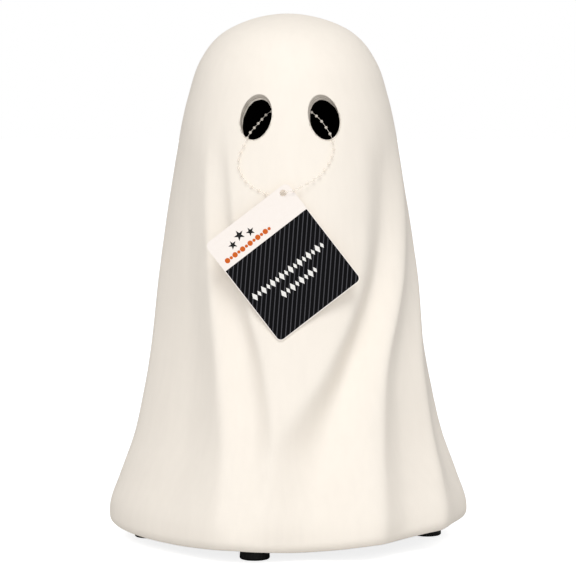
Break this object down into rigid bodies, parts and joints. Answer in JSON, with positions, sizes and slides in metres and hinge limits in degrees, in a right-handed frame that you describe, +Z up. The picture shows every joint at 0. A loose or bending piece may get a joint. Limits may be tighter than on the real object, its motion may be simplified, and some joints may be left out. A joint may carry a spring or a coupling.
{
  "type": "paper mache ghost",
  "caption": "Free-standing hollow paper mache ghost with a draped skirt and two eye holes, on small rubber feet, with a card tag on a beaded tie.",
  "frame": {"origin": "on the surface the ghost stands on, under the middle of its body", "axes": "+Z up, the face looks along -Y, +X to the viewer's right"},
  "size_m": [0.197, 0.1932, 0.287],
  "materials": {
    "paper_mache": "matt cream paint over layered paper pulp",
    "board": "matt dark board",
    "foot_rubber": "matt black rubber",
    "tag_card": "satin printed card",
    "tie_nylon": "natural translucent nylon"
  },
  "bodies": {
    "root": {"paper_shell": "paper_mache", "base_board": "board", "foot_front": "foot_rubber", "foot_right": "foot_rubber", "foot_back": "foot_rubber", "foot_left": "foot_rubber", "hang_tag": "tag_card", "beaded_tie": "tie_nylon"}
  },
  "joints": []
}
